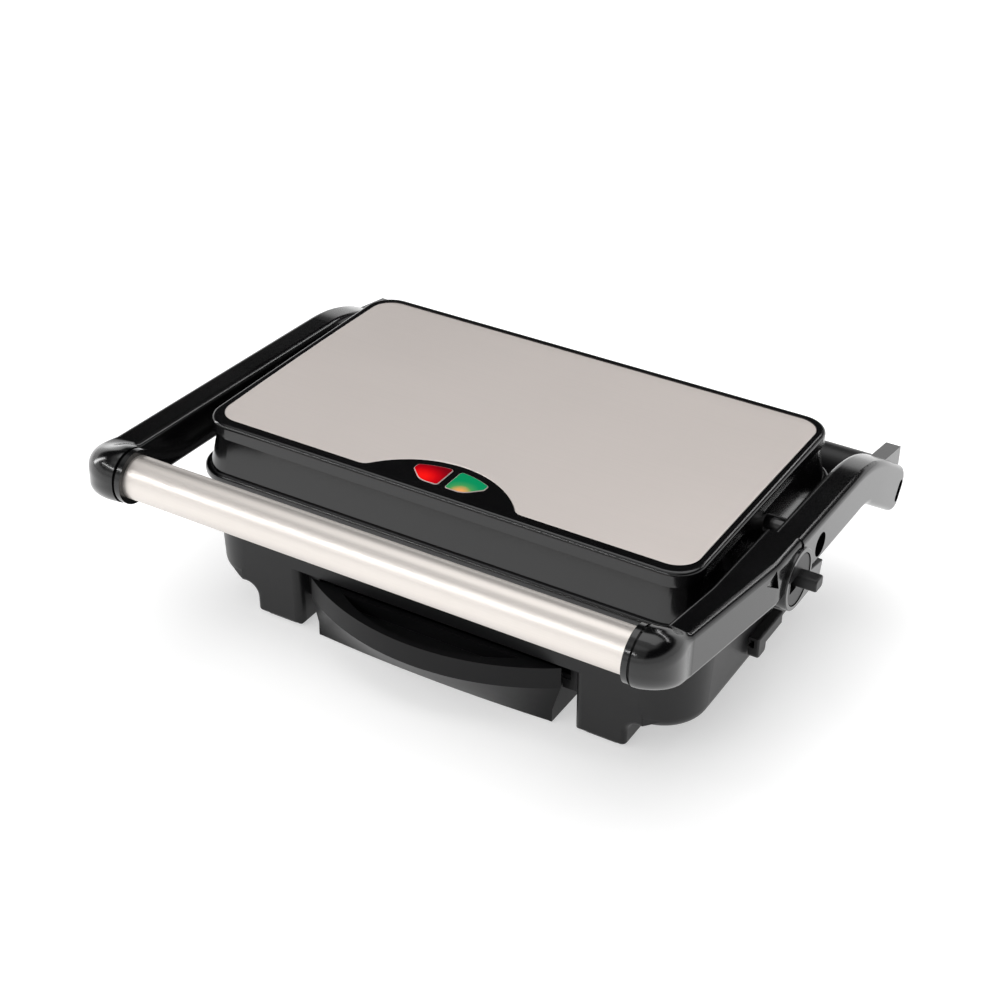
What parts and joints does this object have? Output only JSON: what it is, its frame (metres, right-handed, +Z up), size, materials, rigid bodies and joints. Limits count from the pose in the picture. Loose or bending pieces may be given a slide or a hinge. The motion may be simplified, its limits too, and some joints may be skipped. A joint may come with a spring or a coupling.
{
  "type": "panini press",
  "caption": "Contact grill with ribbed plates in a base and a tilting lid, a tube handle on side arms, a brushed steel top, indicator lenses and a slide-out drip tray.",
  "frame": {"origin": "on the table under the closed press, midway between the side arms and midway from the front of the handle to the rear of the arms", "axes": "+X to the press's own left hand side as seen from behind, which is the right of a user in front of it; +Y to the rear hinge; +Z up"},
  "size_m": [0.3071, 0.2499, 0.1049],
  "materials": {
    "gloss_black": "glossy black moulding",
    "satin_black": "satin black moulding",
    "brushed_panel": "satin brushed stainless sheet",
    "brushed_tube": "satin stainless tube",
    "coated_plate": "black non-stick coating on cast aluminium",
    "element_sheath": "dull heated steel sheath",
    "sheet_aluminium": "plain bright sheet",
    "plain_steel": "zinc-plated steel",
    "bush_brass": "plain turned bush",
    "foot_rubber": "matt black rubber",
    "gland_rubber": "matt black rubber",
    "pale_insulator": "pale insulating moulding",
    "red_lens": "clear red lens",
    "green_lens": "clear green lens",
    "lamp_glass": "small glass lamps"
  },
  "bodies": {
    "base": {"base_housing": "satin_black", "base_bottom_cover": "satin_black", "cover_screws": "plain_steel", "foot_pads": "foot_rubber", "lower_grill_plate": "coated_plate", "lower_heating_element": "element_sheath", "lower_element_clamps": "plain_steel", "lower_reflector": "sheet_aluminium", "lower_clamp_screws": "plain_steel", "lower_plate_screws": "plain_steel", "thermostat": "pale_insulator", "thermal_fuse": "plain_steel", "terminal_block": "pale_insulator", "cord_gland": "gland_rubber", "hinge_pins": "plain_steel"},
    "tray": {"drip_tray": "satin_black"},
    "latch": {"latch_slide": "satin_black"},
    "arms": {"left_arm": "gloss_black", "right_arm_front": "gloss_black", "right_arm_rear": "gloss_black", "arm_dowels": "plain_steel", "left_handle_cap": "gloss_black", "right_handle_cap": "gloss_black", "handle_collars": "gloss_black", "handle_tube": "brushed_tube", "handle_tie_rod": "plain_steel", "pivot_bushes": "bush_brass"},
    "knob": {"turn_knob": "satin_black", "knob_screw": "plain_steel", "knob_washer": "plain_steel"},
    "lid": {"lid_housing": "gloss_black", "lid_frame": "gloss_black", "top_panel": "brushed_panel", "red_lens": "red_lens", "green_lens": "green_lens", "lamp_holder": "satin_black", "lamps": "lamp_glass", "upper_grill_plate": "coated_plate", "upper_heating_element": "element_sheath", "upper_element_clamps": "plain_steel", "upper_reflector": "sheet_aluminium", "upper_clamp_screws": "plain_steel", "upper_plate_screws": "plain_steel", "pivot_pins": "plain_steel", "lid_screws": "plain_steel"}
  },
  "joints": [
    {"name": "arms_hinge", "type": "hinge", "parent": "base", "child": "arms", "pos_m": [0, 0.107, 0.0623], "axis": [-1, 0, 0], "range_deg": [0, 180]},
    {"name": "lid_tilt", "type": "hinge", "parent": "arms", "child": "lid", "pos_m": [0, 0.012, 0.0815], "axis": [1, 0, 0], "range_deg": [-2.5, 2.5]},
    {"name": "knob_turn", "type": "hinge", "parent": "arms", "child": "knob", "pos_m": [0.1491, -0.0122, 0.0775], "axis": [1, 0, 0], "range_deg": [0, 90]},
    {"name": "tray_slide", "type": "slide", "parent": "base", "child": "tray", "axis": [0, -1, 0], "range_m": [0, 0.105]},
    {"name": "latch_travel", "type": "slide", "parent": "base", "child": "latch", "axis": [0, -1, 0], "range_m": [0, 0.008]}
  ]
}
